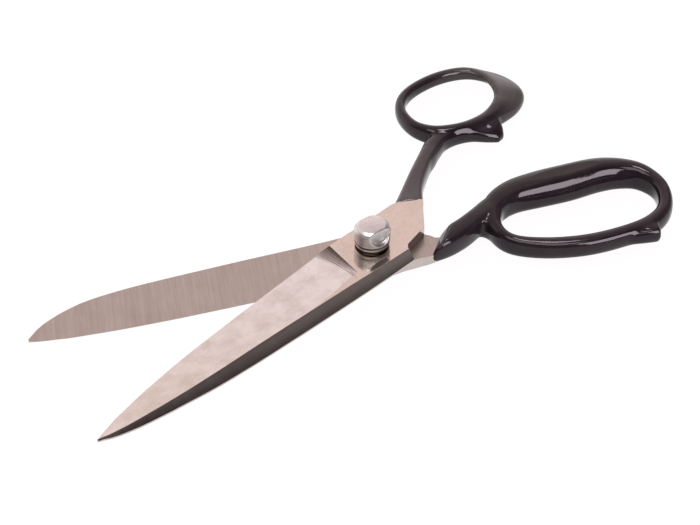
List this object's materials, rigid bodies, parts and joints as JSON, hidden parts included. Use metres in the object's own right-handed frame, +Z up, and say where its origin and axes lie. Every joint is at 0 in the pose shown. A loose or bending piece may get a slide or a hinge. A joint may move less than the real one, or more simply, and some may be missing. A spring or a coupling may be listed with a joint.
{
  "type": "fabric shears",
  "caption": "Bent-handle tailor's shears with two ground steel blades on a nutted pivot and glossy dark enamelled bows, lying part open.",
  "frame": {"origin": "on the pivot axis, at the underside of the lower half, which is the plane the shears lie on", "axes": "+X from the pivot to the tip of the lower blade, +Z up along the pivot bolt to the nut, +Y completes the set, towards the upper blade"},
  "size_m": [0.2567, 0.1573, 0.0192],
  "materials": {
    "blade_steel": "ground and polished",
    "handle_enamel": "thick gloss",
    "bolt_steel": "turned",
    "spring_steel": "blued",
    "washer_steel": "plain",
    "nut_nickel": "satin nickel"
  },
  "bodies": {
    "lower_half": {"lower_blade_steel": "blade_steel", "finger_bow_enamel": "handle_enamel", "pivot_bolt": "bolt_steel", "wave_washer": "spring_steel"},
    "upper_half": {"upper_blade_steel": "blade_steel", "thumb_bow_enamel": "handle_enamel"},
    "washer": {"flat_washer": "washer_steel"},
    "nut": {"pivot_nut": "nut_nickel"}
  },
  "joints": [
    {"name": "blade_pivot", "type": "hinge", "parent": "lower_half", "child": "upper_half", "pos_m": [0, 0, 0.0046], "axis": [0, 0, 1], "range_deg": [-23.3, 50]},
    {"name": "washer_lift", "type": "slide", "parent": "lower_half", "child": "washer", "axis": [0, 0, 1], "range_m": [0, 0.001], "deforming": ["wave_washer"]},
    {"name": "nut_turn", "type": "hinge", "parent": "washer", "child": "nut", "pos_m": [0, 0, 0.0116], "axis": [0, 0, 1], "range_deg": [0, 360]}
  ],
  "couplings": [
    {"joint": "washer_lift", "follows": "nut_turn", "m_per_rad": 0.000159}
  ]
}
